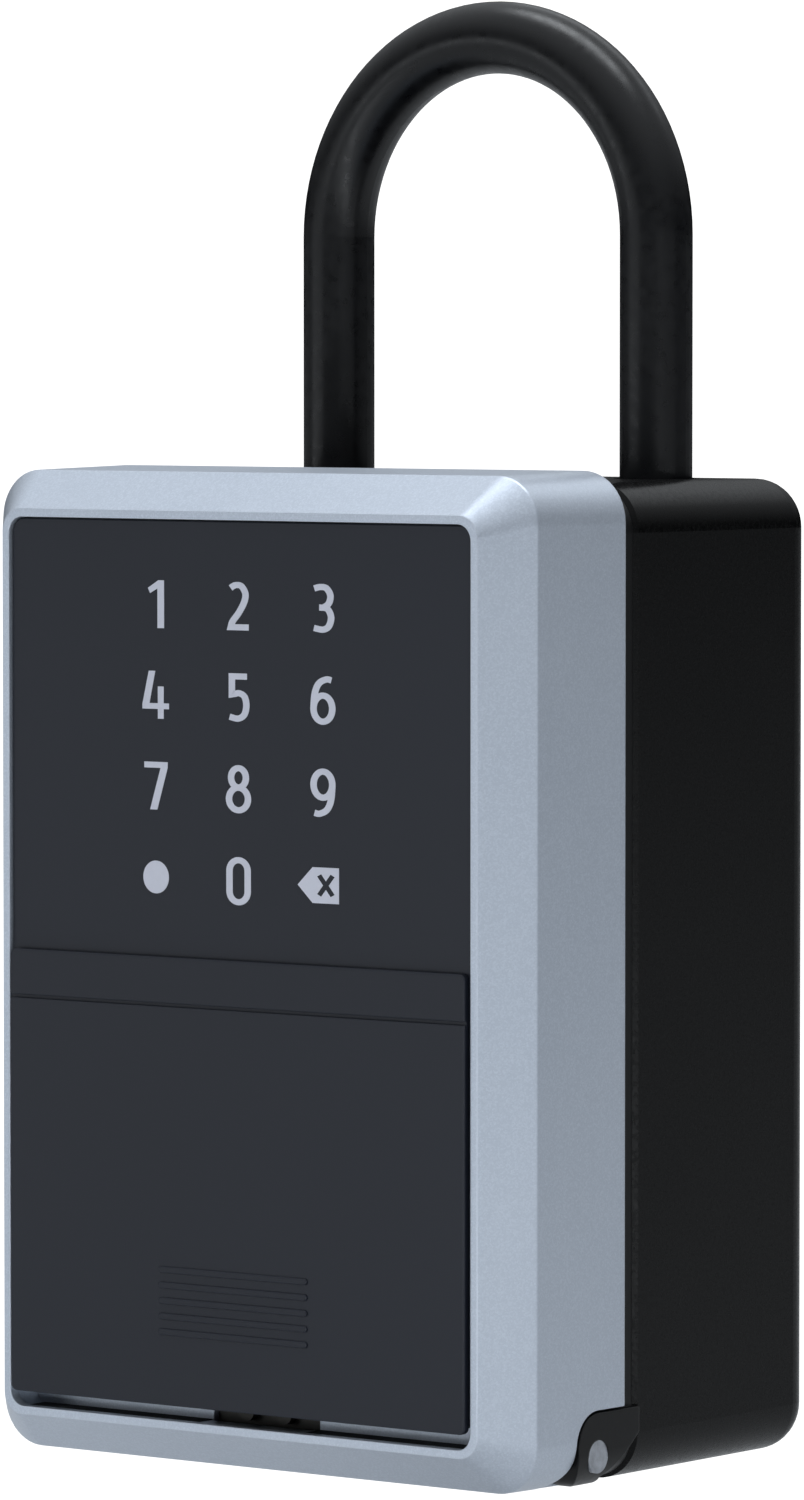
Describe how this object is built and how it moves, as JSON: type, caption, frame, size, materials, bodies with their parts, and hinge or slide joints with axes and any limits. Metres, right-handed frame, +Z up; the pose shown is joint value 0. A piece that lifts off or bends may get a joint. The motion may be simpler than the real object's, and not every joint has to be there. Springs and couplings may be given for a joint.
{
  "type": "keypad smart key safe",
  "caption": "Keypad key lock box: hinged silver door with a touch panel and slide cover, motor bolt, black key housing and a releasable coated shackle.",
  "frame": {"origin": "bottom centre of the object's box: midway across its width and depth, at the height of the jacket's underside", "axes": "+Z up along the shackle, -Y out of the keypad door, +X to the right of someone facing the door"},
  "size_m": [0.083, 0.0644, 0.1795],
  "materials": {
    "jacket_plastic": "black satin moulding, slightly soft to the touch",
    "housing_black": "fine black powder coat on a zinc casting",
    "seal_rubber": "matt black rubber",
    "pin_steel": "ground steel rod",
    "bush_plastic": "black acetal",
    "block_zinc": "bare zinc casting, tumbled",
    "cover_black": "fine-grained black moulding",
    "screw_steel": "zinc-plated steel",
    "plate_steel": "stamped steel",
    "hook_steel": "bright plated wire",
    "mat_rubber": "ribbed black rubber",
    "knob_plastic": "ribbed black moulding",
    "shackle_steel": "hardened steel bar",
    "shackle_vinyl": "satin black vinyl coat",
    "silver_paint": "fine metallic silver paint, satin",
    "panel_gloss": "dark blue-grey hard-coated keypad sheet",
    "board_green": "green solder mask",
    "can_tin": "tinned sheet",
    "chassis_plastic": "black glass-filled moulding",
    "cell_wrap": "plain blue sleeve on a steel can",
    "contact_nickel": "nickel-plated spring steel",
    "button_grey": "dark grey moulding",
    "port_brass": "plated contact studs in a black carrier",
    "motor_steel": "drawn steel can",
    "bracket_steel": "folded sheet steel",
    "cover_gloss": "dark blue-grey hard-coated sheet",
    "shoe_plastic": "natural acetal",
    "bolt_steel": "sintered steel",
    "gear_brass": "cut brass"
  },
  "bodies": {
    "body": {"outer_jacket": "jacket_plastic", "inner_housing": "housing_black", "door_seal": "seal_rubber", "hinge_pin_left": "pin_steel", "hinge_pin_right": "pin_steel", "shackle_bush_left": "bush_plastic", "shackle_bush_right": "bush_plastic", "shackle_lock_block": "block_zinc", "mechanism_cover": "cover_black", "mechanism_screws": "screw_steel", "strike_plate": "plate_steel", "strike_screws": "screw_steel", "key_hook": "hook_steel", "key_mat": "mat_rubber"},
    "latch": {"shackle_latch_plate": "plate_steel", "shackle_release_knob": "knob_plastic"},
    "shackle": {"shackle_core": "shackle_steel", "shackle_coating": "shackle_vinyl"},
    "door": {"door_frame": "silver_paint", "keypad_panel": "panel_gloss", "touch_sensor_board": "board_green", "main_circuit_board": "board_green", "board_connector": "bush_plastic", "radio_module": "can_tin", "buzzer": "bush_plastic", "button_switch": "bush_plastic", "inner_chassis": "chassis_plastic", "chassis_screws": "screw_steel", "inner_cover": "cover_black", "inner_cover_screws": "screw_steel", "bolt_case": "cover_black", "bolt_case_screws": "screw_steel", "battery_tray": "chassis_plastic", "battery_cell": "cell_wrap", "battery_contact_plus": "contact_nickel", "battery_contact_minus": "contact_nickel", "battery_cover": "cover_black", "power_port": "port_brass", "slide_stop_bumper": "seal_rubber", "guide_rod_left": "pin_steel", "guide_rod_right": "pin_steel", "hinge_bush_left": "bush_plastic", "hinge_bush_right": "bush_plastic", "motor_gearbox": "can_tin", "bolt_motor": "motor_steel", "motor_bracket": "bracket_steel"},
    "cover": {"slide_cover": "cover_gloss", "slide_shoe_left": "shoe_plastic", "slide_shoe_right": "shoe_plastic", "shoe_screws": "screw_steel"},
    "bolt": {"door_bolt": "bolt_steel"},
    "pinion": {"motor_pinion": "gear_brass", "drive_shaft": "pin_steel"},
    "button": {"setup_button": "button_grey"}
  },
  "joints": [
    {"name": "door_hinge", "type": "hinge", "parent": "body", "child": "door", "pos_m": [0, -0.014, 0.00405], "axis": [1, 0, 0], "range_deg": [0, 95]},
    {"name": "cover_slide", "type": "slide", "parent": "door", "child": "cover", "axis": [0, 0, 1], "range_m": [0, 0.0495]},
    {"name": "bolt_slide", "type": "slide", "parent": "door", "child": "bolt", "axis": [0, 0, 1], "range_m": [0, 0.005]},
    {"name": "pinion_spin", "type": "hinge", "parent": "door", "child": "pinion", "pos_m": [0.0158, -0.0142, 0.098], "axis": [1, 0, 0], "range_deg": [0, 60]},
    {"name": "shackle_slide", "type": "slide", "parent": "body", "child": "shackle", "axis": [0, 0, 1], "range_m": [0, 0.032]},
    {"name": "latch_slide", "type": "slide", "parent": "body", "child": "latch", "axis": [1, 0, 0], "range_m": [0, 0.0032]},
    {"name": "button_press", "type": "slide", "parent": "door", "child": "button", "axis": [0, -1, 0], "range_m": [0, 0.0006], "stiffness_N_per_m": 500}
  ],
  "couplings": [
    {"joint": "pinion_spin", "follows": "bolt_slide", "rad_per_m": 208.33}
  ]
}
